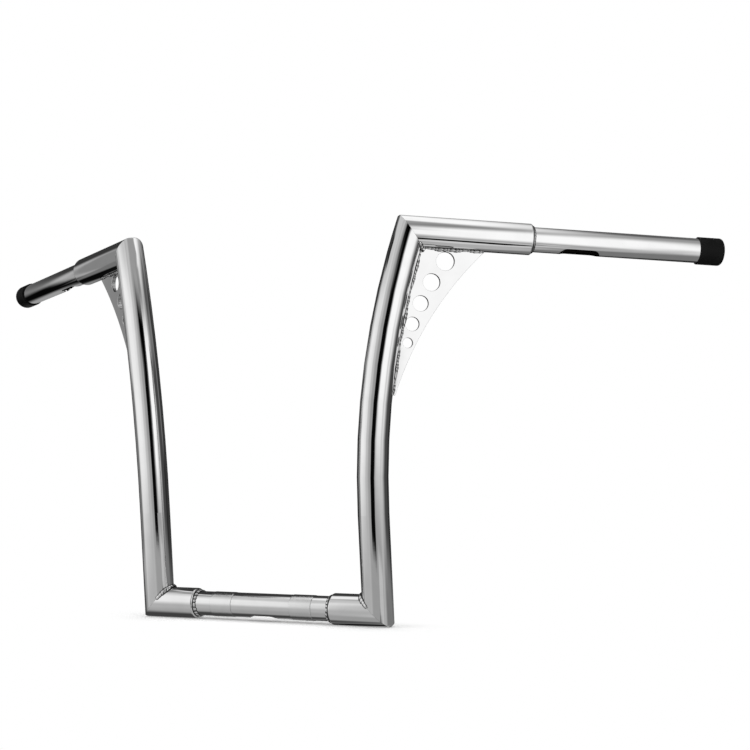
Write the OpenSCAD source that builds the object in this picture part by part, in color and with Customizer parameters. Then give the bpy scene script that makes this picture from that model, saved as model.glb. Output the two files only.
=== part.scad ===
// Ape hanger handlebar: fat mitred risers and stubs over thin clamp and grip tubes, with drilled corner gussets.
// Millimetres. The origin is the middle of the clamp tube, +X runs along it, +Z is up and the grips sweep to +Y.
// Right is the +X side and left the -X side, as seen from the front. The left half mirrors the right one, but for
// the turn of its grip's slot.

/* [Tubes] */
// Outside diameter of the fat tube of the stubs and risers
fat_od = 31.75; // [30.5:0.05:38.1]
// Outside diameter of the clamp tube and of the grip tubes
thin_od = 25.4; // [22.2:0.1:26.4]
// Wall of the clamp tube and of the grip tubes
thin_wall = 3.1; // [1.6:0.1:5]
// Play on the radius between a thin tube and the fat tube that it sits in
socket_play = 0.1; // [0.05:0.05:0.3]
// Depth to which a thin tube goes into its fat tube
socket_depth = 30; // [15:1:32]
// Radius of the eased rim at the open end of a stub
rim_ease = 2; // [0.5:0.1:2.3]

/* [Base] */
// Distance between the centre lines of the two risers at the base
base_width = 256.8; // [240:0.4:320]
// Length of a lower stub, from the riser's centre line to its rim
lower_stub_reach = 49.2; // [46:0.2:60]
// Length of a knurled band, where a fork clamp holds the clamp tube
knurl_length = 24.7; // [15:0.1:26]
// Plain tube between a lower stub's rim and the knurled band next to it
knurl_margin = 20.5; // [8:0.5:30]
// Height that the knurling raises above the tube, on the radius
knurl_raise = 0.2; // [0.1:0.05:0.4]
// How far the outer tip of a lower mitre is ground back
lower_tip_ease = 1.9; // [0.2:0.1:3]

/* [Risers] */
// Lean of the foot of a riser towards the front, in degrees
riser_lean = 6.5; // [0:0.1:15]
// Straight length at the foot of a riser, from the clamp tube's centre line
riser_foot = 97; // [50:0.5:150]
// Radius of the bend, at the centre line
bend_radius = 788; // [500:1:1500]
// Angle through which a riser bends, in degrees
bend_angle = 20.8; // [14:0.1:30]
// Heading of the bend, turned from outwards towards the rear, in degrees
bend_heading = 41.5; // [20:0.1:70]
// How far the outer tip of an upper mitre is ground back
upper_tip_ease = 0.8; // [0.2:0.1:3]

/* [Grips] */
// Sweep of the grips to the rear, in degrees
grip_sweep = 31.9; // [15:0.1:45]
// Drop of the grips towards their ends, in degrees
grip_drop = 2.5; // [0:0.1:10]
// Length of an upper stub, from the riser's centre line to its rim
upper_stub_reach = 124.5; // [100:0.5:160]
// Length of a grip tube outside its stub
grip_length = 198.5; // [150:0.5:260]

/* [End caps] */
// Overall length of an end cap
cap_length = 26; // [15:0.5:40]
// Wall of the sleeve of an end cap
cap_wall = 1.35; // [0.8:0.05:3]
// Thickness of the closed end of an end cap
cap_end = 2.1; // [1.5:0.1:5]
// Radius of the rounded edge at the closed end
cap_round = 3.5; // [1:0.1:4]
// Play between an end cap and its grip tube
cap_play = 0.05; // [0.02:0.01:0.3]

/* [Wiring slots] */
// Width of a wiring slot
slot_width = 15.5; // [8:0.5:17]
// Length of the slot under the clamp tube
clamp_slot = 35; // [20:0.5:60]
// Length of the slot under a grip tube
grip_slot = 42; // [20:0.5:60]
// Distance from a stub's rim to the middle of its grip's slot
grip_slot_reach = 50; // [38:0.5:90]
// Turn of the right grip's slot from straight down towards the front, in degrees
right_slot_turn = 9; // [-30:1:25]
// Turn of the left grip's slot from straight down towards the front, in degrees
left_slot_turn = -19; // [-30:1:25]

/* [Gussets] */
// Thickness of a gusset plate
gusset_t = 4.8; // [3:0.1:6.4]
// Reach of a gusset along its stub, from the riser's centre line
gusset_reach = 77; // [70:0.5:90]
// Drop of a gusset along its riser, from the stub's centre line
gusset_drop = 166; // [160:1:200]
// Radius of the hollow free edge
gusset_hollow = 338; // [280:1:600]
// Width of the blunt lower tip
gusset_tip = 2.5; // [1:0.1:5]
// Radius of the snipe that clears the weld in the crotch
gusset_snipe = 4.4; // [4.2:0.1:9]
// Play between a plate and the tubes that it is welded to
gusset_play = 0.1; // [0.05:0.05:0.5]

/* [Gusset holes] */
// Diameter of the first hole, next to the stub
hole_1_d = 18.8; // [14:0.1:20]
// Diameter of the second hole
hole_2_d = 17.5; // [12:0.1:18.5]
// Diameter of the third hole
hole_3_d = 15.9; // [10:0.1:17]
// Diameter of the fourth hole
hole_4_d = 14.1; // [8:0.1:15]
// Diameter of the fifth hole, next to the lower tip
hole_5_d = 10.2; // [6:0.1:11]
// Metal left between two neighbouring holes
hole_web = 7.3; // [4:0.1:8.5]
// Metal left between the first hole and the stub
stub_margin = 2.5; // [2:0.1:6]
// Metal left between the first hole and the free edge
first_margin = 12.7; // [8:0.1:16]
// Metal left between the last hole and the free edge
last_margin = 3; // [1.5:0.1:5]

/* [Welds] */
// Leg of a weld in a mitre's crotch
corner_leg = 3; // [2:0.1:3.6]
// Leg of a weld along a gusset
gusset_leg = 2.3; // [1.5:0.1:2.4]
// Leg along the thin tube of the weld round a clamp tube's socket
clamp_collar_leg = 4; // [2:0.1:5]
// Leg along the thin tube of the weld round a grip tube's socket
grip_collar_leg = 2.6; // [1.5:0.1:4]
// Leg across the rim of both of these collar welds
rim_leg = 1.7; // [1:0.1:2.2]
// Crown of a weld above the straight line between its legs
weld_crown = 0.9; // [0.4:0.1:1.3]
// Length of one ripple of a weld
ripple_length = 3.2; // [2.6:0.1:6]
// Share of its size that a weld loses between two ripples
ripple_depth = 0.2; // [0:0.01:0.3]
// Play between a weld and the metal under it
weld_play = 0.1; // [0.05:0.01:0.3]
// Half of the angle round a lower mitre that its weld covers, from the crotch, in degrees
lower_weld_angle = 72; // [45:1:110]
// Half of the angle round an upper mitre that its weld covers, from the crotch, in degrees
upper_weld_angle = 45; // [30:1:110]

/* [Hidden] */
LEFT = -1;
RIGHT = 1;
CHROME = [0.82, 0.83, 0.85];
WELD_CHROME = [0.70, 0.71, 0.74];
CAP_BLACK = [0.06, 0.06, 0.06];
clamp_length = base_width - 2 * lower_stub_reach;
knurl_middle = clamp_length / 2 - knurl_margin - knurl_length / 2;
fat_r = fat_od / 2;
thin_r = thin_od / 2;
thin_bore_r = thin_r - thin_wall;
fat_bore_r = thin_r + socket_play;
cap_r = thin_r + cap_play + cap_wall;
round_fn = 96;
sweep_fn = 720;
// Raw tube that runs past a corner before its mitre is cut, and the gap left in the cut
mitre_spare = fat_od;
mitre_gap = 0.1;
cut_size = 4 * fat_od;
through = 1;
// The holes lean towards the free edge by this power of their place in the row
margin_fall = 1.2;
hole_d = [hole_1_d, hole_2_d, hole_3_d, hole_4_d, hole_5_d];
last_hole = len(hole_d) - 1;
// Straight steps across the crown of a weld, and stations over which its open ends fade
weld_steps = 5;
fade_stations = 5;

// The riser's centre line, as a point and a direction at a distance s from the clamp tube's centre line.
spare_angle = mitre_spare / bend_radius * 180 / PI;
riser_length = riser_foot + bend_radius * bend_angle * PI / 180;
function unit(v) = v / norm(v);
function turned_heading(p) = [
    p.x * cos(bend_heading) - p.y * sin(bend_heading),
    p.x * sin(bend_heading) + p.y * cos(bend_heading),
    p.z,
];
function turned_lean(p) = [
    p.x,
    p.y * cos(riser_lean) - p.z * sin(riser_lean),
    p.y * sin(riser_lean) + p.z * cos(riser_lean),
];
function bend_at(s) = max(s - riser_foot, 0) / bend_radius * 180 / PI;
function riser_point(s) = let (a = bend_at(s)) [base_width / 2, 0, 0] + turned_lean(turned_heading(
    [bend_radius * (1 - cos(a)), 0, min(s, riser_foot) + bend_radius * sin(a)]));
function riser_direction(s) = let (a = bend_at(s)) turned_lean(turned_heading([sin(a), 0, cos(a)]));

// The two corners of the right half: where they are, and the directions in which their two tubes leave.
lower_corner = riser_point(0);
upper_corner = riser_point(riser_length);
lower_up = riser_direction(0);
lower_in = [-1, 0, 0];
upper_down = -riser_direction(riser_length);
upper_out = [cos(grip_drop) * cos(grip_sweep), cos(grip_drop) * sin(grip_sweep), -sin(grip_drop)];
function half_angle(a, b) = acos(a * b) / 2;

// How far the bent riser strays from the straight line of its top, over the length of its mitre and its weld.
riser_stray = pow(fat_r / tan(half_angle(upper_down, upper_out)) + corner_leg, 2) / (2 * bend_radius);

// The plane of the right gusset: across it lies upper_out, down it plate_down, and plate_normal leaves it.
gusset_foot = riser_point(riser_length - gusset_drop) - upper_corner;
plate_down = unit(gusset_foot - (gusset_foot * upper_out) * upper_out);
plate_normal = cross(upper_out, plate_down);
function on_plate(p) = [(p - upper_corner) * upper_out, (p - upper_corner) * plate_down];
function beside_riser(s) = let (w = unit(cross(plate_normal, riser_direction(s)))) w * upper_out > 0 ? w : -w;

// The hollow free edge: an arc between the outer end on the stub and the lower tip, and its centre.
outer_end = [gusset_reach, fat_r];
lower_tip = on_plate(riser_point(riser_length - gusset_drop)
    + (fat_r + gusset_tip) * beside_riser(riser_length - gusset_drop));
edge_chord = lower_tip - outer_end;
edge_middle = (lower_tip + outer_end) / 2;
edge_rise = sqrt(pow(gusset_hollow, 2) - pow(norm(edge_chord) / 2, 2));
hollow_centre = edge_middle + edge_rise * unit([edge_chord.y, -edge_chord.x]);

// The crotch of the upper mitre, on the plate.
crotch = on_plate(upper_corner
    + fat_r / sin(half_angle(upper_down, upper_out)) * unit(upper_down + upper_out));

// The holes follow the free edge: each has a margin to it, and a web to the hole before it.
function hole_margin(i) = first_margin + (last_margin - first_margin) * pow(i / last_hole, margin_fall);
function hole_distance(i) = gusset_hollow + hole_margin(i) + hole_d[i] / 2;
function first_hole_angle() = asin((hollow_centre.y - fat_r - stub_margin - hole_d[0] / 2) / hole_distance(0));
function hole_angle(i) = i == 0 ? first_hole_angle() : let (
    near = hole_distance(i - 1),
    far = hole_distance(i),
    apart = hole_d[i - 1] / 2 + hole_web + hole_d[i] / 2
) hole_angle(i - 1) - acos((near * near + far * far - apart * apart) / (2 * near * far));
function hole_centre(i) = hollow_centre - hole_distance(i) * [cos(hole_angle(i)), sin(hole_angle(i))];

module on_side(side) {
    mirror([side < 0 ? 1 : 0, 0, 0])
        children();
}

module along_riser() {
    translate([base_width / 2, 0, 0])
        rotate([riser_lean, 0, 0])
            rotate([0, 0, bend_heading])
                children();
}

// Along a grip, +Z points outwards from the corner and +X down.
module along_grip() {
    translate(upper_corner)
        rotate([0, 0, grip_sweep])
            rotate([0, 90 + grip_drop, 0])
                children();
}

module along_clamp() {
    rotate([0, 90, 0])
        children();
}

module on_gusset_plane() {
    multmatrix([
        [upper_out.x, plate_down.x, plate_normal.x, upper_corner.x],
        [upper_out.y, plate_down.y, plate_normal.y, upper_corner.y],
        [upper_out.z, plate_down.z, plate_normal.z, upper_corner.z],
    ])
        children();
}

// A block that fills the side of a plane towards which its normal points.
module cut_block(point, normal) {
    translate(point)
        rotate([0, acos(normal.z / norm(normal)), atan2(normal.y, normal.x)])
            translate([-cut_size / 2, -cut_size / 2, 0])
                cube(cut_size);
}

// What a mitre takes away from the tube that leaves the corner along keep, beside the tube along other.
module mitre_cut(corner, keep, other) {
    towards_other = unit(other - keep);
    cut_block(corner - mitre_gap / 2 * towards_other, towards_other);
}

// What grinding takes from the outer tip of a mitre: all that stands out of a ball round the corner.
module tip_grind(corner, keep, other, ease) {
    outwards = -unit(keep + other);
    ball_r = fat_r / sin(half_angle(keep, other)) - ease;
    difference() {
        cut_block(corner + 0.6 * ball_r * outwards, outwards);
        translate(corner)
            sphere(r = ball_r, $fn = round_fn);
    }
}

// A slot with round ends, along Z, cut through the wall on the +X side.
module wiring_slot(length) {
    straight = length - slot_width;
    for (end = [-1, 1])
        translate([0, 0, end * straight / 2])
            rotate([0, 90, 0])
                cylinder(d = slot_width, h = fat_od, $fn = round_fn);
    translate([0, -slot_width / 2, -straight / 2])
        cube([fat_od, slot_width, straight]);
}

// A fat tube along Z from below the corner to its rim, whose outer edge is eased.
module rimmed_tube(reach) {
    rotate_extrude($fn = round_fn)
        difference() {
            translate([fat_bore_r, -mitre_spare])
                square([fat_r - fat_bore_r, reach + mitre_spare]);
            translate([fat_r - rim_ease, reach - rim_ease])
                difference() {
                    square(rim_ease + through);
                    circle(r = rim_ease, $fn = round_fn);
                }
        }
}

module riser_solid(r) {
    along_riser() {
        translate([0, 0, -mitre_spare])
            cylinder(r = r, h = riser_foot + mitre_spare, $fn = round_fn);
        translate([bend_radius, 0, riser_foot])
            rotate([90, 0, 0])
                mirror([1, 0, 0])
                    rotate_extrude(angle = bend_angle + spare_angle, $fn = sweep_fn)
                        translate([bend_radius, 0])
                            circle(r = r, $fn = round_fn);
    }
}

module clamp_tube() {
    length = clamp_length + 2 * socket_depth;
    color(CHROME)
        difference() {
            along_clamp() {
                cylinder(r = thin_r, h = length, center = true, $fn = round_fn);
                for (end = [-1, 1])
                    translate([0, 0, end * knurl_middle])
                        cylinder(r = thin_r + knurl_raise, h = knurl_length, center = true, $fn = round_fn);
            }
            along_clamp()
                cylinder(r = thin_bore_r, h = length + 2 * through, center = true, $fn = round_fn);
            along_clamp()
                wiring_slot(clamp_slot);
        }
}

module lower_stub(side) {
    color(CHROME)
        on_side(side)
            difference() {
                translate(lower_corner)
                    rotate([0, -90, 0])
                        rimmed_tube(lower_stub_reach);
                mitre_cut(lower_corner, lower_in, lower_up);
                tip_grind(lower_corner, lower_in, lower_up, lower_tip_ease);
            }
}

module riser(side) {
    color(CHROME)
        on_side(side)
            difference() {
                riser_solid(fat_r);
                riser_solid(fat_bore_r);
                mitre_cut(lower_corner, lower_up, lower_in);
                mitre_cut(upper_corner, upper_down, upper_out);
                tip_grind(lower_corner, lower_up, lower_in, lower_tip_ease);
                tip_grind(upper_corner, upper_down, upper_out, upper_tip_ease);
            }
}

module upper_stub(side) {
    color(CHROME)
        on_side(side)
            difference() {
                along_grip()
                    rimmed_tube(upper_stub_reach);
                mitre_cut(upper_corner, upper_out, upper_down);
                tip_grind(upper_corner, upper_out, upper_down, upper_tip_ease);
            }
}

module grip_tube(side) {
    length = socket_depth + grip_length;
    color(CHROME)
        on_side(side)
            along_grip()
                difference() {
                    translate([0, 0, upper_stub_reach - socket_depth])
                        cylinder(r = thin_r, h = length, $fn = round_fn);
                    translate([0, 0, upper_stub_reach - socket_depth - through])
                        cylinder(r = thin_bore_r, h = length + 2 * through, $fn = round_fn);
                    translate([0, 0, upper_stub_reach + grip_slot_reach])
                        rotate([0, 0, side < 0 ? -left_slot_turn : -right_slot_turn])
                            wiring_slot(grip_slot);
                }
}

module end_cap(side) {
    inner = cap_length - cap_end;
    color(CAP_BLACK)
        on_side(side)
            along_grip()
                translate([0, 0, upper_stub_reach + grip_length + cap_play - inner])
                    difference() {
                        rotate_extrude($fn = round_fn) {
                            square([cap_r, cap_length - cap_round]);
                            square([cap_r - cap_round, cap_length]);
                            translate([cap_r - cap_round, cap_length - cap_round])
                                circle(r = cap_round, $fn = round_fn);
                        }
                        translate([0, 0, -through])
                            cylinder(r = thin_r + cap_play, h = inner + through, $fn = round_fn);
                    }
}

module gusset_outline() {
    riser_line = on_plate(riser_point(riser_length - gusset_drop));
    difference() {
        polygon([[0, 0], [gusset_reach, 0], outer_end, lower_tip, riser_line]);
        translate(hollow_centre)
            circle(r = gusset_hollow, $fn = sweep_fn);
        translate(crotch)
            circle(r = gusset_snipe, $fn = round_fn);
        for (i = [0:last_hole])
            translate(hole_centre(i))
                circle(d = hole_d[i], $fn = round_fn);
    }
}

module gusset(side) {
    color(CHROME)
        on_side(side)
            difference() {
                on_gusset_plane()
                    linear_extrude(gusset_t, center = true)
                        gusset_outline();
                riser_solid(fat_r + gusset_play);
                along_grip()
                    translate([0, 0, -mitre_spare])
                        cylinder(r = fat_r + gusset_play, h = upper_stub_reach + mitre_spare, $fn = round_fn);
            }
}

// A station of a weld is [root, first leg, second leg, outward direction], with the legs as whole vectors.
function ripple(i) = i % 2 == 0 ? 1 : 1 - ripple_depth;
function fade(i, last) = min(1, (min(i, last - i) + 2) / fade_stations);
function weld_section(s, size, play) = let (root = s[0] + play * s[3]) [
    root,
    for (k = [0:weld_steps])
        let (t = k / weld_steps)
            root + size * ((1 - t) * s[1] + t * s[2] + 4 * t * (1 - t) * weld_crown * s[3]),
];

module weld_bead(stations, closed = false, play = weld_play) {
    rings = len(stations);
    m = weld_steps + 2;
    points = [for (i = [0:rings - 1])
        each weld_section(stations[i], ripple(i) * (closed ? 1 : fade(i, rings - 1)), play)];
    spans = closed ? rings : rings - 1;
    sides = [for (i = [0:spans - 1], j = [0:m - 1])
        let (a = i * m, b = ((i + 1) % rings) * m, n = (j + 1) % m)
            each [[a + j, b + j, b + n], [a + j, b + n, a + n]]];
    ends = closed ? [] : [
        [for (j = [0:m - 1]) j],
        [for (j = [m - 1:-1:0]) (rings - 1) * m + j],
    ];
    polyhedron(points, concat(sides, ends));
}

function ripple_count(length) = 2 * ceil(length / ripple_length);

// A weld round the seam of a mitre, on both sides of the crotch.
function corner_station(corner, a, b, turn) = let (
    across = unit(cross(a, b)),
    inwards = unit(a + b),
    root = fat_r / sin(half_angle(a, b)) * cos(turn) * inwards + fat_r * sin(turn) * across,
    tangent = unit(fat_r * cos(turn) * across - fat_r / sin(half_angle(a, b)) * sin(turn) * inwards),
    off_a = unit(root - (root * a) * a),
    off_b = unit(root - (root * b) * b),
    leg_a = cross(tangent, off_a),
    leg_b = cross(tangent, off_b)
) [
    corner + root,
    corner_leg * (leg_a * a > 0 ? leg_a : -leg_a),
    corner_leg * (leg_b * b > 0 ? leg_b : -leg_b),
    unit(off_a + off_b),
];

module corner_weld(side, corner, a, b, angle) {
    count = ripple_count(2 * fat_r * angle * PI / 180);
    color(WELD_CHROME)
        on_side(side)
            weld_bead([for (i = [0:count])
                corner_station(corner, a, b, angle * (1 - 2 * i / count))],
                play = weld_play + riser_stray);
}

module lower_corner_weld(side) {
    corner_weld(side, lower_corner, lower_up, lower_in, lower_weld_angle);
}

module upper_corner_weld(side) {
    corner_weld(side, upper_corner, upper_down, upper_out, upper_weld_angle);
}

// A weld round a thin tube along Z, where it leaves the rim at the origin.
module collar_weld(tube_leg) {
    count = ripple_count(2 * PI * thin_r);
    weld_bead([for (i = [0:count - 1])
        let (turn = -360 * i / count, out = [cos(turn), sin(turn), 0])
            [thin_r * out, rim_leg * out, [0, 0, tube_leg], unit(out + [0, 0, 1])]], closed = true);
}

module clamp_collar_weld(side) {
    color(WELD_CHROME)
        on_side(side)
            translate([clamp_length / 2, 0, 0])
                rotate([0, -90, 0])
                    collar_weld(clamp_collar_leg);
}

module grip_collar_weld(side) {
    color(WELD_CHROME)
        on_side(side)
            along_grip()
                translate([0, 0, upper_stub_reach])
                    collar_weld(grip_collar_leg);
}

// A weld between one face of the plate and a tube whose centre line passes through point, beside away.
function plate_station(point, away, face) = let (
    offset = (point - upper_corner) * plate_normal,
    sine = (face * gusset_t / 2 - offset) / fat_r,
    cosine = sqrt(1 - sine * sine),
    leg = face * (cosine * plate_normal - sine * away)
) [
    point + fat_r * (sine * plate_normal + cosine * away),
    gusset_leg * away,
    gusset_leg * leg,
    unit(away + leg),
];

weld_start = norm(crotch - [0, fat_r]) + gusset_snipe;

module gusset_stub_weld(side) {
    run = gusset_reach - crotch.x - gusset_snipe;
    count = ripple_count(run);
    color(WELD_CHROME)
        on_side(side)
            for (face = [-1, 1])
                weld_bead([for (i = [0:count])
                    let (t = face > 0 ? i / count : 1 - i / count)
                        plate_station(upper_corner + (crotch.x + gusset_snipe + run * t) * upper_out,
                            plate_down, face)]);
}

module gusset_riser_weld(side) {
    run = gusset_drop - weld_start;
    count = ripple_count(run);
    color(WELD_CHROME)
        on_side(side)
            for (face = [-1, 1])
                weld_bead([for (i = [0:count])
                    let (t = face > 0 ? 1 - i / count : i / count, s = riser_length - weld_start - run * t)
                        plate_station(riser_point(s), beside_riser(s), face)]);
}

clamp_tube();
lower_stub(LEFT);  // lower_stub_left
lower_stub(RIGHT);  // lower_stub_right
riser(LEFT);  // riser_left
riser(RIGHT);  // riser_right
upper_stub(LEFT);  // upper_stub_left
upper_stub(RIGHT);  // upper_stub_right
grip_tube(LEFT);  // grip_tube_left
grip_tube(RIGHT);  // grip_tube_right
gusset(LEFT);  // gusset_left
gusset(RIGHT);  // gusset_right
end_cap(LEFT);  // end_cap_left
end_cap(RIGHT);  // end_cap_right
lower_corner_weld(LEFT);  // lower_corner_weld_left
lower_corner_weld(RIGHT);  // lower_corner_weld_right
upper_corner_weld(LEFT);  // upper_corner_weld_left
upper_corner_weld(RIGHT);  // upper_corner_weld_right
clamp_collar_weld(LEFT);  // clamp_collar_weld_left
clamp_collar_weld(RIGHT);  // clamp_collar_weld_right
grip_collar_weld(LEFT);  // grip_collar_weld_left
grip_collar_weld(RIGHT);  // grip_collar_weld_right
gusset_stub_weld(LEFT);  // gusset_stub_weld_left
gusset_stub_weld(RIGHT);  // gusset_stub_weld_right
gusset_riser_weld(LEFT);  // gusset_riser_weld_left
gusset_riser_weld(RIGHT);  // gusset_riser_weld_right
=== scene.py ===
"""Looks of an ape hanger handlebar: polished chrome tubes, drilled gussets, ripple welds, knurling and end caps.

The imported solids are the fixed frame. The tubes, stubs and risers keep their solids and get procedural chrome. The
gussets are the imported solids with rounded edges. The welds, the knurling and the end caps are finer surfaces worked
out with numpy. Lengths in the classes below are in millimetres, as in the part's source, unless they say otherwise,
and become metres when a mesh is made.
"""

import logging
import math
from dataclasses import dataclass, field, replace
from enum import Enum
from functools import cache

import bmesh
import bpy
import numpy as np
from mathutils import Matrix, Vector


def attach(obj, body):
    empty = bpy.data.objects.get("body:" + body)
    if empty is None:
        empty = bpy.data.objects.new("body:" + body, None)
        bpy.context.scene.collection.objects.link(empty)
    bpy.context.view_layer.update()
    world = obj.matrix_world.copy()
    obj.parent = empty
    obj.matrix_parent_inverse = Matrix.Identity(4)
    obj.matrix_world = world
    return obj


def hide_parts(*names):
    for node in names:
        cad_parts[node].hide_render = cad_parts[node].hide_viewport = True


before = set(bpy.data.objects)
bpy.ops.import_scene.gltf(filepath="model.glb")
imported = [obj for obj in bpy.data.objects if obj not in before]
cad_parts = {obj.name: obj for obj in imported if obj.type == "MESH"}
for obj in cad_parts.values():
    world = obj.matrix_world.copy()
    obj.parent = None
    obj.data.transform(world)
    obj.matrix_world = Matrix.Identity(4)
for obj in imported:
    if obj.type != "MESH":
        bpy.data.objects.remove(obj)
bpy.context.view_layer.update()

log = logging.getLogger("handlebar")
Array = np.ndarray
Piece = bpy.types.Object
Socket = bpy.types.NodeSocket
Colour = tuple[float, float, float]
Place = tuple[float, float, float]
MM = 0.001
ROOT = "root"


class Side(Enum):
    """The two halves of the bar, each with the sign that its X coordinates take."""

    LEFT = -1
    RIGHT = 1

    @property
    def word(self) -> str:
        """The side's name as it stands at the end of a node's name."""
        return self.name.lower()

    @property
    def turn(self) -> Array:
        """Factors that carry a point of the right side to this side."""
        return np.array([self.value, 1.0, 1.0])


class Slot(Enum):
    """The record's material slots."""

    TUBE = "tube_chrome"
    PLATE = "plate_chrome"
    WELD = "weld_chrome"
    CAP = "cap_plastic"


def unit(vectors: Array) -> Array:
    """Vectors divided by their lengths, along the last axis."""
    return vectors / np.linalg.norm(vectors, axis=-1, keepdims=True)


def dot(a: Array, b: Array) -> Array:
    """Dot product along the last axis, which is kept."""
    return np.sum(a * b, axis=-1, keepdims=True)


def smooth_step(x: Array, low: float, high: float) -> Array:
    """0 below low, 1 above high, and t * t * (3 - 2 * t) between them."""
    t = np.clip((x - low) / (high - low), 0.0, 1.0)
    return t * t * (3.0 - 2.0 * t)


@dataclass
class SurfaceGrid:
    """A surface given by a grid of points, row by row, in millimetres.

    Rows run along the piece and columns across it. A closed direction joins its last line to its first one.
    """

    points: Array
    closed_rows: bool = False
    closed_columns: bool = True

    def faces(self) -> tuple[Array, Array]:
        """Faces that look outwards: quads between neighbouring grid points, and one flat face over each open end.

        Which way the quads look shows in the sign of the volume that they enclose.

        Returns:
            The corner indices of all the faces, one face after the other, and how many corners each face has.
        """
        rows, columns = self.points.shape[:2]
        r = np.arange(rows if self.closed_rows else rows - 1)[:, None]
        c = np.arange(columns if self.closed_columns else columns - 1)[None, :]
        r2, c2 = (r + 1) % rows, (c + 1) % columns
        quads = np.stack([r * columns + c, r * columns + c2, r2 * columns + c2, r2 * columns + c], -1).reshape(-1, 4)
        flat = self.points.reshape(-1, 3)
        a, b, c, d = (flat - flat.mean(axis=0))[quads.T]
        volume = np.sum(np.cross(b - a, c - a) * a) + np.sum(np.cross(c - a, d - a) * a)
        faces = [quads]
        if self.closed_columns and not self.closed_rows:
            first = np.arange(columns)[None]
            faces += [first[:, ::-1], first + (rows - 1) * columns]
        if volume <= 0:
            faces = [face[:, ::-1] for face in faces]
        corners = np.concatenate([face.ravel() for face in faces])
        return corners, np.concatenate([np.full(len(face), face.shape[1]) for face in faces])

    def mirrored(self, side: Side) -> "SurfaceGrid":
        """The same surface on the given side: the left one has its X turned round."""
        return replace(self, points=self.points * side.turn)


def make_mesh(name: str, grids: list[SurfaceGrid], shade: dict[str, list[Array]]) -> Piece:
    """Makes one object from one or more grids, with smooth shading and its place in its mesh.

    Args:
        name: The piece's name.
        grids: The surfaces, in millimetres.
        shade: Point attributes by name, with one array of values for each grid.

    Returns:
        The new object, linked to the scene.
    """
    points = [grid.points.reshape(-1, 3) for grid in grids]
    base = np.cumsum([0] + [len(part) for part in points])
    corners, counts = zip(*(grid.faces() for grid in grids))
    corner = np.concatenate([part + first for part, first in zip(corners, base)])
    co, count = np.concatenate(points) * MM, np.concatenate(counts)
    start = np.cumsum(count) - count
    mesh = bpy.data.meshes.new(name)
    mesh.vertices.add(len(co))
    mesh.vertices.foreach_set("co", co.astype(np.float32).ravel())
    mesh.loops.add(len(corner))
    mesh.loops.foreach_set("vertex_index", corner.astype(np.int32))
    mesh.polygons.add(len(start))
    mesh.polygons.foreach_set("loop_start", start.astype(np.int32))
    mesh.polygons.foreach_set("loop_total", count.astype(np.int32))
    mesh.polygons.foreach_set("use_smooth", np.ones(len(start), dtype=bool))
    for key, values in shade.items():
        attribute = mesh.attributes.new(key, "FLOAT", "POINT")
        attribute.data.foreach_set("value", np.concatenate([v.ravel() for v in values]).astype(np.float32))
    mesh.update(calc_edges=True)
    mesh.validate()
    piece = bpy.data.objects.new(name, mesh)
    bpy.context.scene.collection.objects.link(piece)
    return piece


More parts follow.
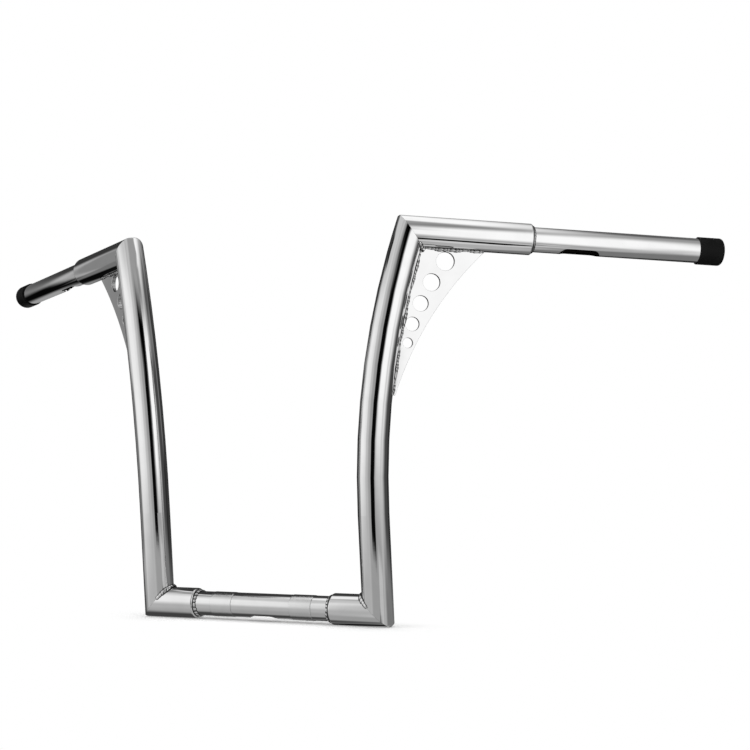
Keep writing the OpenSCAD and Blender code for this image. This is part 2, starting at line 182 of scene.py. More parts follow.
@dataclass(frozen=True)
class BarPlan:
    """The bar's sizes, in millimetres and degrees, and the centre lines that follow from them.

    Args:
        fat_r: Radius of the stubs and risers.
        thin_r: Radius of the clamp tube and the grip tubes.
        base_width: Distance between the feet of the two risers' centre lines.
        lower_stub_reach: Reach of a lower stub from its riser's centre line to its rim.
        riser_lean: Lean of the bar towards the front.
        riser_foot: Length of a riser's straight foot.
        bend_radius: Radius of its bend.
        bend_angle: Turn of the bend.
        bend_heading: Where the bend heads, from straight outwards towards the rear.
        grip_sweep: Turn of a grip towards the rear.
        grip_drop: Drop of a grip towards its end.
        upper_stub_reach: Reach of an upper stub from its corner to its rim.
        grip_length: Length of a grip tube from the rim of its stub to its end inside the cap.
        knurl_length: Length of a knurled band.
        knurl_margin: Distance between a band and the lower stub's rim.
        knurl_raise: Height of a band over the clamp tube.
    """

    fat_r: float = 15.875
    thin_r: float = 12.7
    base_width: float = 256.8
    lower_stub_reach: float = 49.2
    riser_lean: float = 6.5
    riser_foot: float = 97.0
    bend_radius: float = 788.0
    bend_angle: float = 20.8
    bend_heading: float = 41.5
    grip_sweep: float = 31.9
    grip_drop: float = 2.5
    upper_stub_reach: float = 124.5
    grip_length: float = 198.5
    knurl_length: float = 24.7
    knurl_margin: float = 20.5
    knurl_raise: float = 0.2

    @property
    def clamp_length(self) -> float:
        """Length of clamp tube that shows between the two lower stubs."""
        return self.base_width - 2.0 * self.lower_stub_reach

    @property
    def knurl_middle(self) -> float:
        """Distance from the bar's middle to the middle of a knurled band."""
        return self.clamp_length / 2.0 - self.knurl_margin - self.knurl_length / 2.0

    @property
    def riser_length(self) -> float:
        """Length of a riser's centre line, foot and bend."""
        return self.riser_foot + self.bend_radius * math.radians(self.bend_angle)

    def _turned(self, x: Array, z: Array) -> Array:
        """Points of the bend's own plane, turned by its heading and then leant towards the front.

        Args:
            x: Their distances outwards in that plane.
            z: Their heights in it.

        Returns:
            The points, along a last axis of three.
        """
        head, lean = math.radians(self.bend_heading), math.radians(self.riser_lean)
        px, py = x * math.cos(head), x * math.sin(head)
        return np.stack([px, py * math.cos(lean) - z * math.sin(lean), py * math.sin(lean) + z * math.cos(lean)], -1)

    def riser_point(self, s: Array) -> Array:
        """Points on the right riser's centre line.

        A straight foot, then an arc: r * (1 - cos(a)) sideways and r * sin(a) onwards, with a the arc length over r.

        Args:
            s: Distances along it from the clamp tube's centre line.

        Returns:
            The points, along a last axis of three.
        """
        s = np.asarray(s, dtype=float)
        a = np.maximum(s - self.riser_foot, 0.0) / self.bend_radius
        x = self.bend_radius * (1.0 - np.cos(a))
        z = np.minimum(s, self.riser_foot) + self.bend_radius * np.sin(a)
        return self._turned(x, z) + np.array([self.base_width / 2.0, 0.0, 0.0])

    def riser_direction(self, s: Array) -> Array:
        """Unit directions of the right riser's centre line at distances s."""
        a = np.maximum(np.asarray(s, dtype=float) - self.riser_foot, 0.0) / self.bend_radius
        return self._turned(np.sin(a), np.cos(a))

    @property
    def lower_corner(self) -> Array:
        """Where the right riser's and the clamp tube's centre lines meet."""
        return self.riser_point(0.0)

    @property
    def upper_corner(self) -> Array:
        """Where the right riser's and the right grip's centre lines meet."""
        return self.riser_point(self.riser_length)

    @property
    def grip_axis(self) -> Array:
        """Unit direction of the right grip, away from its corner."""
        sweep, drop = math.radians(self.grip_sweep), math.radians(self.grip_drop)
        return np.array([math.cos(drop) * math.cos(sweep), math.cos(drop) * math.sin(sweep), -math.sin(drop)])


PLAN = BarPlan()
INWARDS = np.array([-1.0, 0.0, 0.0])


@dataclass(frozen=True)
class StraightTube:
    """The outside of a straight tube on the right side of the bar."""

    point: Array
    axis: Array
    radius: float

    def settle(self, points: Array, sink: float) -> Array:
        """Drops points onto the tube, at radius less sink from the nearest point of its axis."""
        on_axis = self.point + dot(points - self.point, self.axis) * self.axis
        return on_axis + (self.radius - sink) * unit(points - on_axis)


@dataclass(frozen=True)
class RiserTube:
    """The outside of the right riser."""

    radius: float

    def settle(self, points: Array, sink: float) -> Array:
        """Drops points onto the bent tube: the nearest centre point is found in eight steps along the centre line.

        Args:
            points: The points.
            sink: How far below the outside they end.

        Returns:
            The dropped points.
        """
        near_top = np.linalg.norm(points - PLAN.upper_corner, axis=-1) < PLAN.riser_length / 2.0
        s = np.where(near_top, PLAN.riser_length, 0.0)
        for _ in range(8):
            s = s + dot(points - PLAN.riser_point(s), PLAN.riser_direction(s))[..., 0]
        centre = PLAN.riser_point(s)
        return centre + (self.radius - sink) * unit(points - centre)


@dataclass(frozen=True)
class FlatFace:
    """A flat face of the metal, such as a plate's side or a stub's rim."""

    point: Array
    normal: Array

    def settle(self, points: Array, sink: float) -> Array:
        """Drops points onto the plane, sunk a little below it."""
        return points - (dot(points - self.point, self.normal) + sink) * self.normal


Metal = StraightTube | RiserTube | FlatFace


@dataclass
class WeldSeam:
    """A seam that a weld fills.

    Args:
        root: Points of its root line, one for each station.
        leg_a: At each station, how far and where to the weld reaches over the first metal.
        leg_b: The same over the second one.
        out: At each station, the direction in which the weld stands up.
        metal_a: The first metal.
        metal_b: The second metal.
        closed: True if the seam runs all round.
    """

    root: Array
    leg_a: Array
    leg_b: Array
    out: Array
    metal_a: Metal
    metal_b: Metal
    closed: bool = False


@dataclass(frozen=True)
class RippleWeld:
    """A weld laid as a row of overlapping coins.

    Args:
        pitch: Distance from one coin to the next.
        crown: Height of the middle of a coin above the straight line between its legs.
        notch: Share of its size that the weld loses in the valley between two coins.
        unevenness: Share by which the coins differ from each other.
        bow: How far each coin's front edge bows forward, in coins.
        steps: Stations for one coin.
        across: Steps across the weld.
        sink: How far the weld's edges go in under the metal.
        bed: How far its underside lies below the root.
        flatness: Power that flattens the tops of the coins.
        leg_notch: Share of the notch that the legs take part in.
        taper: Length over which an open end rises, in coins.
        tip: Size of the very tip of an open end, as a share.
        toe: Where the painted shade along a toe ends and the unshaded middle begins, as shares of the width.
    """

    pitch: float
    crown: float
    notch: float
    unevenness: float
    bow: float = 0.45
    steps: int = 12
    across: int = 14
    sink: float = 0.12
    bed: float = 0.35
    flatness: float = 2.4
    leg_notch: float = 0.35
    taper: float = 0.9
    tip: float = 0.12
    toe: tuple[float, float] = (0.05, 0.36)

    def stations(self, length: float) -> int:
        """How many stations a seam of that length needs."""
        return max(2, int(round(length / self.pitch))) * self.steps

    def build(self, seam: WeldSeam) -> tuple[SurfaceGrid, Array]:
        """The weld's surface over its seam.

        With u the place along the seam in coins, which strays by two slow sine waves so that the coins differ in
        length, and t from 0 to 1 across it, the coin's phase is u - bow * 4 * t * (1 - t), and its height over the
        valley is 1 - |2 * frac(phase) - 1| to the power flatness. The surface runs from one metal to the other,
        raised by crown * 4 * t * (1 - t), all scaled by that height.

        Args:
            seam: The seam, with one row for each station.

        Returns:
            The grid, and a value at each of its points that sets painted shade: 1 on top of a coin, 0 at a toe, and
            the nearer to 0 in a valley the deeper it is. Low values are painted dark as shade in the creases.
        """
        step = np.linalg.norm(np.diff(seam.root, axis=0, append=seam.root[:1]), axis=1)
        if not seam.closed:
            step[-1] = 0.0
        total, place = step.sum(), np.concatenate([[0.0], np.cumsum(step)[:-1]])
        coins = max(2, round(total / self.pitch))
        part = 2.0 * math.pi * place / total
        stray = np.sin(5.0 * part + 1.0) / 5.0 + np.sin(11.0 * part) / 11.0
        u = (place / total * coins + self.unevenness * coins / (2.0 * math.pi) * stray)[:, None]
        t = np.linspace(0.0, 1.0, self.across + 1)[None, :]
        arch = 4.0 * t * (1.0 - t)
        phase = u - self.bow * arch
        coin = np.floor(phase) % coins
        height = 1.0 - np.abs(2.0 * (phase % 1.0) - 1.0) ** self.flatness
        uneven = 1.0 + self.unevenness * np.sin(coin * 12.9898 + 4.1) * np.cos(coin * 7.233)
        size = uneven * (1.0 - self.notch * self.leg_notch * (1.0 - height))
        if not seam.closed:
            reach = np.clip(np.minimum(place, total - place)[:, None] / (self.taper * self.pitch), 0.0, 1.0)
            size = size * (self.tip + (1.0 - self.tip) * np.sqrt(np.clip(1.0 - (1.0 - reach) ** 2, 0.0, 1.0)))
        crown = self.crown * arch * (1.0 - self.notch * (1.0 - height)) * size
        root, out = seam.root[:, None], seam.out[:, None]
        foot_a = seam.metal_a.settle(root + size[..., None] * seam.leg_a[:, None], self.sink)
        foot_b = seam.metal_b.settle(root + size[..., None] * seam.leg_b[:, None], self.sink)
        blend = t[..., None]
        surface = (1.0 - blend) * foot_a + blend * foot_b + crown[..., None] * out
        points = np.concatenate([surface, root - self.bed * out], axis=1)
        # Painted shade: darker in the valleys between coins and along both toes, where the weld meets the metal.
        shade = (1.0 - min(1.0, 2.0 * self.notch) * (1.0 - height)) * smooth_step(np.minimum(t, 1.0 - t), *self.toe)
        return SurfaceGrid(points, closed_rows=seam.closed), np.pad(shade, ((0, 0), (0, 1)))


def dress(piece: Piece, finish: "Finish") -> Piece:
    """Gives a piece its one finish.

    Args:
        piece: The piece.
        finish: Its finish.

    Returns:
        The same piece.
    """
    piece.data.materials.clear()
    piece.data.materials.append(finish.material())
    return piece


@dataclass
class Part:
    """A piece of the right side, before it is made.

    Args:
        name: The piece's name, without the side.
        node: The node whose place it takes, without the side, or None if it takes no place.
        slot: Its slot in the record. Not used.
        grids: Its surfaces, in millimetres.
        ripples: For each surface of a weld, the painted shade of its ripple valleys and toes.
    """

    name: str
    node: str | None
    slot: Slot
    grids: list[SurfaceGrid]
    ripples: list[Array] | None = None

    def make(self, side: Side, finish: "Finish") -> Piece:
        """Makes the piece on one side and dresses it.

        Args:
            side: The side.
            finish: The piece's finish.

        Returns:
            The piece.
        """
        shade = {} if self.ripples is None else {"ripple": self.ripples}
        piece = make_mesh(f"{self.name}_{side.word}", [grid.mirrored(side) for grid in self.grids], shade)
        if self.node is not None:
            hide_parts(f"{self.node}_{side.word}")
        return dress(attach(piece, ROOT), finish)


def weld_part(place: str, built: list[tuple[SurfaceGrid, Array]]) -> Part:
    """The weld of a place, from its surfaces, each with the painted shade of its ripple valleys and toes."""
    return Part(f"{place}_ripples", f"{place}_weld", Slot.WELD, *(list(each) for each in zip(*built)))


class SubAssembly:
    """Pieces of one kind, which the bar has on both sides."""

    def parts(self) -> list[Part]:
        """The pieces of the right side."""
        raise NotImplementedError

    def make(self, finish: "Finish") -> list[Piece]:
        """Makes the pieces of both sides.

        Args:
            finish: Their finish.

        Returns:
            The pieces.
        """
        return [part.make(side, finish) for part in self.parts() for side in Side]


def mitre_tip(a: Array, b: Array) -> Array:
    """The inside tip of a mitre of two fat tubes, from their corner: r / sin(half of their angle) inwards."""
    return PLAN.fat_r / math.sin(math.acos(float(a @ b)) / 2.0) * unit(a + b)


@dataclass
class CornerWelds(SubAssembly):
    """The welds in the crotches of the mitres, on both sides of each crotch.

    Args:
        leg: How far a weld reaches over each tube.
        lower_angle: Half of the angle round a lower mitre that its weld covers, in degrees.
        upper_angle: The same for an upper mitre.
        fill: Radii of the lump in the snipe of a gusset: inwards, aside and across the plate.
        fill_depth: How far its middle lies past the crotch, as a share of its inward radius.
        lumpiness: How far its surface moves in and out, as a share.
        weld: The weld.
    """

    leg: float = 3.0
    lower_angle: float = 72.0
    upper_angle: float = 45.0
    fill: tuple[float, float, float] = (3.4, 4.2, 3.3)
    fill_depth: float = 0.62
    lumpiness: float = 0.1
    weld: RippleWeld = field(default_factory=lambda: RippleWeld(pitch=3.8, crown=0.8, notch=0.2, unevenness=0.28))

    def seam(self, corner: Array, a: Array, b: Array, metal_a: Metal, metal_b: Metal, angle: float) -> WeldSeam:
        """The seam of a mitre between two equal tubes.

        The seam is an ellipse in the mitre's plane: at a turn w from the crotch it lies at cos(w) times the mitre's
        tip, and r * sin(w) across. Its tangent is the derivative of that.

        Args:
            corner: Where the two centre lines meet.
            a: Direction in which the first tube leaves.
            b: Direction in which the second tube leaves.
            metal_a: The first tube.
            metal_b: The second tube.
            angle: Half of the angle round the mitre that the weld covers, in degrees.

        Returns:
            The seam.
        """
        across, tip = PLAN.fat_r * unit(np.cross(a, b)), mitre_tip(a, b)
        # The ellipse is about a tenth longer than an arc of the tube's own circle.
        count = self.weld.stations(2.2 * PLAN.fat_r * math.radians(angle))
        w = np.radians(np.linspace(angle, -angle, count))[:, None]
        root = np.cos(w) * tip + np.sin(w) * across
        tangent = unit(np.cos(w) * across - np.sin(w) * tip)
        off_a, off_b = unit(root - dot(root, a) * a), unit(root - dot(root, b) * b)
        leg_a, leg_b = np.cross(tangent, off_a), np.cross(tangent, off_b)
        leg_a *= np.sign(dot(leg_a, a))
        leg_b *= np.sign(dot(leg_b, b))
        return WeldSeam(corner + root, self.leg * leg_a, self.leg * leg_b, unit(off_a + off_b), metal_a, metal_b)

    def crotch_fill(self, a: Array, b: Array) -> tuple[SurfaceGrid, Array]:
        """The lump of weld that fills the snipe of a gusset, inside the upper mitre.

        A ball stretched to three radii, whose surface moves in and out by 1 + lumpiness * sin(5 * w) * sin(4 * v).

        Args:
            a: Direction in which the first tube leaves the corner.
            b: Direction in which the second tube leaves it.

        Returns:
            The grid, and a value for painted shade, from 0 in the lump's hollows to 1 on its tops.
        """
        inwards, across = unit(a + b), unit(np.cross(a, b))
        aside = np.cross(inwards, across)
        v = np.linspace(0.01, math.pi - 0.01, 41)[:, None]
        w = np.linspace(0.0, 2.0 * math.pi, 64, endpoint=False)[None, :]
        lumps = np.sin(5.0 * w + 1.3) * np.sin(4.0 * v)
        ball = (np.cos(v)[..., None] * self.fill[0] * inwards
                + (np.sin(v) * np.cos(w))[..., None] * self.fill[1] * aside
                + (np.sin(v) * np.sin(w))[..., None] * self.fill[2] * across)
        middle = PLAN.upper_corner + mitre_tip(a, b) + self.fill_depth * self.fill[0] * inwards
        # The second value paints shade into the lump's hollows.
        return (SurfaceGrid(middle + (1.0 + self.lumpiness * lumps)[..., None] * ball),
                np.clip(0.5 + 0.8 * lumps, 0.0, 1.0))

    def parts(self) -> list[Part]:
        """The two welds of the right side.

        Returns:
            The lower one and the upper one.
        """
        down, out = -PLAN.riser_direction(PLAN.riser_length), PLAN.grip_axis
        riser = RiserTube(PLAN.fat_r)
        lower = self.seam(PLAN.lower_corner, PLAN.riser_direction(0.0), INWARDS, riser,
                          StraightTube(PLAN.lower_corner, INWARDS, PLAN.fat_r), self.lower_angle)
        upper = self.seam(PLAN.upper_corner, down, out, riser,
                          StraightTube(PLAN.upper_corner, out, PLAN.fat_r), self.upper_angle)
        return [weld_part("lower_corner", [self.weld.build(lower)]),
                weld_part("upper_corner", [self.weld.build(upper), self.crotch_fill(down, out)])]


@dataclass
class CollarWelds(SubAssembly):
    """The welds round the thin tubes, where they leave the rims of the stubs.

    Args:
        clamp_leg: Reach of a clamp tube's weld along the thin tube.
        grip_leg: Reach of a grip tube's weld along the thin tube.
        rim_leg: Reach of both across the rim.
        clamp_weld: The clamp tube's weld, deeply rippled.
        grip_weld: The grip tube's weld, nearly smooth.
    """

    clamp_leg: float = 4.0
    grip_leg: float = 2.6
    rim_leg: float = 1.7
    clamp_weld: RippleWeld = field(default_factory=lambda: RippleWeld(pitch=3.9, crown=1.05, notch=0.6,
                                                                     unevenness=0.16, bow=0.3, across=16))
    grip_weld: RippleWeld = field(default_factory=lambda: RippleWeld(pitch=3.0, crown=0.45, notch=0.12,
                                                                    unevenness=0.05, bow=0.3))

    def seam(self, centre: Array, outward: Array, tube_leg: float, weld: RippleWeld) -> WeldSeam:
        """The circular seam round a thin tube: centre + r * (cos(w) * e1 + sin(w) * e2).

        Args:
            centre: The middle of the rim.
            outward: Direction in which the thin tube leaves it.
            tube_leg: Reach of the weld along the tube.
            weld: The weld that is laid in it, which settles how many stations there are.

        Returns:
            The seam.
        """
        r = PLAN.thin_r
        e1 = unit(np.cross(outward, [0.0, 0.0, 1.0]))
        count = weld.stations(2.0 * math.pi * r)
        w = np.linspace(0.0, 2.0 * math.pi, count, endpoint=False)[:, None]
        out = np.cos(w) * e1 + np.sin(w) * np.cross(outward, e1)
        legs = self.rim_leg * out, np.repeat(tube_leg * outward[None], count, axis=0)
        return WeldSeam(centre + r * out, *legs, unit(out + outward), FlatFace(centre, outward),
                        StraightTube(centre, outward, r), closed=True)

    def parts(self) -> list[Part]:
        """The two collars of the right side.

        Returns:
            The clamp tube's and the grip tube's.
        """
        clamp = self.seam(np.array([PLAN.clamp_length / 2.0, 0.0, 0.0]), INWARDS, self.clamp_leg, self.clamp_weld)
        grip = self.seam(PLAN.upper_corner + PLAN.upper_stub_reach * PLAN.grip_axis, PLAN.grip_axis, self.grip_leg,
                         self.grip_weld)
        return [weld_part("clamp_collar", [self.clamp_weld.build(clamp)]),
                weld_part("grip_collar", [self.grip_weld.build(grip)])]


@dataclass
class GussetWelds(SubAssembly):
    """The welds along both faces of each gusset, on its stub and on its riser.

    Args:
        thickness: Thickness of a plate.
        leg: Reach of a weld over the plate and over the tube.
        reach: Reach of a gusset along its stub.
        drop: Drop of a gusset along its riser.
        snipe: Radius of the hollow that the plate has in the crotch.
        weld: The weld.
    """

    thickness: float = 4.8
    leg: float = 2.3
    reach: float = 77.0
    drop: float = 166.0
    snipe: float = 4.4
    weld: RippleWeld = field(default_factory=lambda: RippleWeld(pitch=4.0, crown=0.65, notch=0.32, unevenness=0.4))

    def plate_axes(self) -> tuple[Array, Array, Array]:
        """The right plate's own axes.

        Returns:
            The direction along the stub, the one down across it, and the plate's normal.
        """
        along = PLAN.grip_axis
        foot = PLAN.riser_point(PLAN.riser_length - self.drop) - PLAN.upper_corner
        down = unit(foot - (foot @ along) * along)
        return along, down, np.cross(along, down)

    def seam(self, centre: Array, away: Array, tube: Metal, face: int) -> WeldSeam:
        """The seam between one face of the plate and a tube.

        The face lies face * thickness / 2 off the plate's middle. With h the face's distance from the tube's centre,
        the seam is at r * (h / r * normal + sqrt(1 - (h / r) ^ 2) * away) from the tube's centre line.

        Args:
            centre: Points on the tube's centre line, one for each station.
            away: Directions from the tube into the plate, in the plate's plane.
            tube: The tube's outside.
            face: 1 or -1, the face of the plate.

        Returns:
            The seam.
        """
        normal, half = self.plate_axes()[2], face * self.thickness / 2.0
        sine = (half - dot(centre - PLAN.upper_corner, normal)) / PLAN.fat_r
        cosine = np.sqrt(1.0 - sine * sine)
        leg = face * (cosine * normal - sine * away)
        plate = FlatFace(PLAN.upper_corner + half * normal, face * normal)
        return WeldSeam(centre + PLAN.fat_r * (sine * normal + cosine * away), self.leg * away, self.leg * leg,
                        unit(away + leg), plate, tube)

    def parts(self) -> list[Part]:
        """The welds of the right gusset.

        Returns:
            Those on the stub and those on the riser, with both faces of the plate in each.
        """
        along, down, normal = self.plate_axes()
        tip = mitre_tip(-PLAN.riser_direction(PLAN.riser_length), along)
        crotch = np.array([tip @ along, tip @ down])
        stub_start = crotch[0] + self.snipe
        riser_start = float(np.linalg.norm(crotch - np.array([0.0, PLAN.fat_r]))) + self.snipe
        stub_run, riser_run = self.reach - stub_start, self.drop - riser_start
        t = np.linspace(0.0, 1.0, self.weld.stations(stub_run))[:, None]
        s = PLAN.riser_length - riser_start - riser_run * np.linspace(0.0, 1.0, self.weld.stations(riser_run))
        away = unit(np.cross(normal, PLAN.riser_direction(s)))
        away *= np.sign(dot(away, along))
        stub = (PLAN.upper_corner + (stub_start + stub_run * t) * along, np.repeat(down[None], len(t), axis=0),
                StraightTube(PLAN.upper_corner, along, PLAN.fat_r))
        riser = PLAN.riser_point(s), away, RiserTube(PLAN.fat_r)
        return [weld_part(f"gusset_{place}", [self.weld.build(self.seam(*tube, face)) for face in (-1, 1)])
                for place, tube in (("stub", stub), ("riser", riser))]


@dataclass
class GussetPlates:
    """The gusset plates with the rounded edges and hole rims that polishing leaves.

    Args:
        rounding: Radius of the rounded edges.
        segments: Steps round an edge.
        sharp: Angle between two faces, in degrees, above which the edge between them is rounded.
        bright_rim: Share of the rounding that is as bright as the plate's faces.
        edge: Brightness of the painted shade on the cut edges and hole walls of the left and of the right plate.
    """

    rounding: float = 0.3
    segments: int = 3
    sharp: float = 50.0
    bright_rim: float = 0.3
    # Painted shade: the right plate's cut edges near black, the left's mid grey.
    edge: tuple[float, float] = (0.5, 0.02)

    def middle_plane(self, side: Side) -> tuple[Array, Array, float]:
        """A plate's middle plane.

        Args:
            side: The plate's side.

        Returns:
            A point on the plane in metres, its normal, and half of the plate's thickness in metres.
        """
        gusset = GussetWelds()
        return PLAN.upper_corner * side.turn * MM, gusset.plate_axes()[2] * side.turn, gusset.thickness / 2.0 * MM

    def finish(self, side: Side) -> "Chrome":
        """The chrome of one plate, with painted shade on its cut edges, found by their distance from the middle
        plane.

        Args:
            side: The plate's side.

        Returns:
            The finish.
        """
        point, normal, half = self.middle_plane(side)
        return Chrome(f"gusset_chrome_{side.word}", relief=0.00005, edge=self.edge[side is Side.RIGHT],
                      plate=(tuple(point), tuple(normal), half - self.bright_rim * self.rounding * MM))

    def level(self, mesh: bpy.types.Mesh, side: Side) -> None:
        """Brings every point that lies past one of the plate's two faces back to that face.

        Args:
            mesh: The plate's mesh.
            side: The plate's side.
        """
        point, normal, half = self.middle_plane(side)
        co = np.empty(len(mesh.vertices) * 3)
        mesh.vertices.foreach_get("co", co)
        co = co.reshape(-1, 3)
        height = dot(co - point, normal)
        mesh.vertices.foreach_set("co", (co - (height - np.clip(height, -half, half)) * normal).ravel())

    def make(self) -> list[Piece]:
        """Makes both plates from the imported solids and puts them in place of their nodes.

        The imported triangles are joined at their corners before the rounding. What the rounding pushes out at the
        acute tips is brought back to the plate's faces.

        Returns:
            The pieces.
        """
        pieces = []
        for side in Side:
            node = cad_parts[f"gusset_{side.word}"]
            work = bmesh.new()
            work.from_mesh(node.data)
            work.transform(node.matrix_world)
            bmesh.ops.remove_doubles(work, verts=work.verts, dist=0.002 * MM)
            edges = [e for e in work.edges if len(e.link_faces) == 2
                     and e.calc_face_angle() > math.radians(self.sharp)]
            bmesh.ops.bevel(work, geom=edges, offset=self.rounding * MM, offset_type="OFFSET",
                            segments=self.segments, profile=0.5, affect="EDGES", clamp_overlap=False)
            bmesh.ops.triangulate(work, faces=[f for f in work.faces if len(f.verts) > 4])
            mesh = bpy.data.meshes.new(f"polished_gusset_{side.word}")
            work.to_mesh(mesh)
            work.free()
            self.level(mesh, side)
            mesh.shade_smooth()
            piece = bpy.data.objects.new(mesh.name, mesh)
            bpy.context.scene.collection.objects.link(piece)
            even = piece.modifiers.new("even_normals", "WEIGHTED_NORMAL")
            even.keep_sharp = True
            even.weight = 100
            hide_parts(node.name)
            pieces.append(dress(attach(piece, ROOT), self.finish(side)))
        return pieces


@dataclass
class KnurledBands(SubAssembly):
    """Flat-topped diamond knurling over the two bands where a fork clamp holds the clamp tube.

    Args:
        around: Diamonds round the band.
        depth: Depth of the grooves.
        groove: Share of a diamond's width that a groove takes.
        steps: Steps across one diamond.
        skin: How far the band's ends go in under the tube.
        lift: Height over the plain band at its ends, and what the crests away from the ends add to it.
        fade: Distance from the band's ends within which the relief fades out.
    """

    around: int = 44
    depth: float = 0.06
    groove: float = 0.3
    steps: int = 11
    skin: float = 0.16
    lift: tuple[float, float] = (0.03, 0.09)
    fade: float = 0.7

    def flank(self, phase: Array) -> Array:
        """Depth of one family of grooves: 1 at the bottom of the V and 0 on the flat."""
        away = np.abs((phase + 0.5) % 1.0 - 0.5)
        return np.clip(1.0 - 2.0 * away / self.groove, 0.0, 1.0)

    def grid(self) -> SurfaceGrid:
        """One band's surface, round the X axis.

        Two families of grooves cross: each is a V in frac(n * w / 2 pi + z / pitch) and in
        frac(n * w / 2 pi - z / pitch). The relief is the deeper of the two, and it fades out at the band's ends. The
        profile goes in under the tube at both ends, so the band is closed.

        Returns:
            The surface.
        """
        r, half = PLAN.thin_r + PLAN.knurl_raise, PLAN.knurl_length / 2.0
        pitch = 2.0 * math.pi * r / self.around
        rows = int(round(PLAN.knurl_length / pitch)) * self.steps
        w = np.linspace(0.0, 2.0 * math.pi, self.around * self.steps, endpoint=False)[:, None]
        z = np.linspace(-half, half, rows + 1)[None, :]
        turns, along = self.around * w / (2.0 * math.pi), z / pitch
        relief = np.maximum(self.flank(turns + along), self.flank(turns - along))
        edge = smooth_step(half - np.abs(z), 0.0, self.fade)
        radius = r + self.lift[0] + self.lift[1] * edge - self.depth * relief * edge
        low = np.full((len(w), 1), PLAN.thin_r - self.skin)
        radius = np.concatenate([low, radius, low], axis=1)
        x = PLAN.knurl_middle + np.concatenate([z[:, :1], z, z[:, -1:]], axis=1) + 0.0 * w
        return SurfaceGrid(np.stack([x, radius * np.cos(w), radius * np.sin(w)], -1), closed_rows=True)

    def parts(self) -> list[Part]:
        """The right band."""
        return [Part("clamp_band_knurling", None, Slot.TUBE, [self.grid()])]


@dataclass
class EndCaps(SubAssembly):
    """Moulded end caps, pushed over the ends of the grip tubes.

    Args:
        length: Overall length.
        wall: Wall of the sleeve.
        end: Thickness of the closed end.
        rounding: Radius of the rounded edge at the closed end.
        play: Play between the cap and the tube.
        lip: Radius of the rounded edges of the mouth.
        corner: Size of the slanted corner inside the closed end.
        dish: Depth of the dished end, and the width of its slope.
        middle: Radius of the tiny holes on the axis, inside and outside, that a single point would pinch.
        around: Steps round the cap.
    """

    length: float = 26.0
    wall: float = 1.35
    end: float = 2.1
    rounding: float = 3.5
    play: float = 0.05
    lip: float = 0.35
    corner: float = 0.4
    dish: tuple[float, float] = (0.25, 4.0)
    middle: float = 0.001
    around: int = 160

    def profile(self) -> Array:
        """The cap's half section, from the inside of the closed end round to the middle of its outside.

        It is a plain bore, a mouth with rounded edges, a straight sleeve, a quarter circle, and a dished end.

        Returns:
            The points, as radius and place along the grip.
        """
        bore, outer = PLAN.thin_r + self.play, PLAN.thin_r + self.play + self.wall
        floor, shoulder, flat = self.length - self.end, self.length - self.rounding, outer - self.rounding
        turn, edge = np.linspace(0.0, math.pi / 2.0, 13), np.linspace(math.pi, math.pi / 2.0, 7)
        inside = [[self.middle, floor], [bore - self.corner, floor], [bore, floor - self.corner]]
        mouth = np.stack([bore + self.lip + self.lip * np.cos(edge), self.lip - self.lip * np.sin(edge)], -1)
        rim = np.stack([outer - self.lip + self.lip * np.sin(turn), self.lip - self.lip * np.cos(turn)], -1)
        sleeve = [[outer, z] for z in np.linspace(1.0, shoulder - 0.5, 9)]
        quarter = np.stack([flat + self.rounding * np.cos(turn), shoulder + self.rounding * np.sin(turn)], -1)
        r = np.linspace(flat - 0.4, self.middle, 9)
        dished = self.length - self.dish[0] * smooth_step(flat - r, 0.0, self.dish[1])
        return np.concatenate([inside, mouth, rim, sleeve, quarter, np.stack([r, dished], -1)])

    def grid(self) -> SurfaceGrid:
        """The profile carried round the grip's axis: radius * (cos(w) * e1 + sin(w) * e2).

        Returns:
            The surface.
        """
        axis = PLAN.grip_axis
        e1 = unit(np.cross(axis, [0.0, 0.0, 1.0]))
        w = np.linspace(0.0, 2.0 * math.pi, self.around, endpoint=False)[:, None]
        out = np.cos(w) * e1 + np.sin(w) * np.cross(axis, e1)
        radius, place = self.profile().T[:, None, :, None]
        start = PLAN.upper_stub_reach + PLAN.grip_length + self.play - (self.length - self.end)
        return SurfaceGrid(PLAN.upper_corner + (start + place) * axis + radius * out[:, None], closed_rows=True,
                           closed_columns=False)

    def parts(self) -> list[Part]:
        """The right cap."""
        return [Part("moulded_cap", "end_cap", Slot.CAP, [self.grid()])]


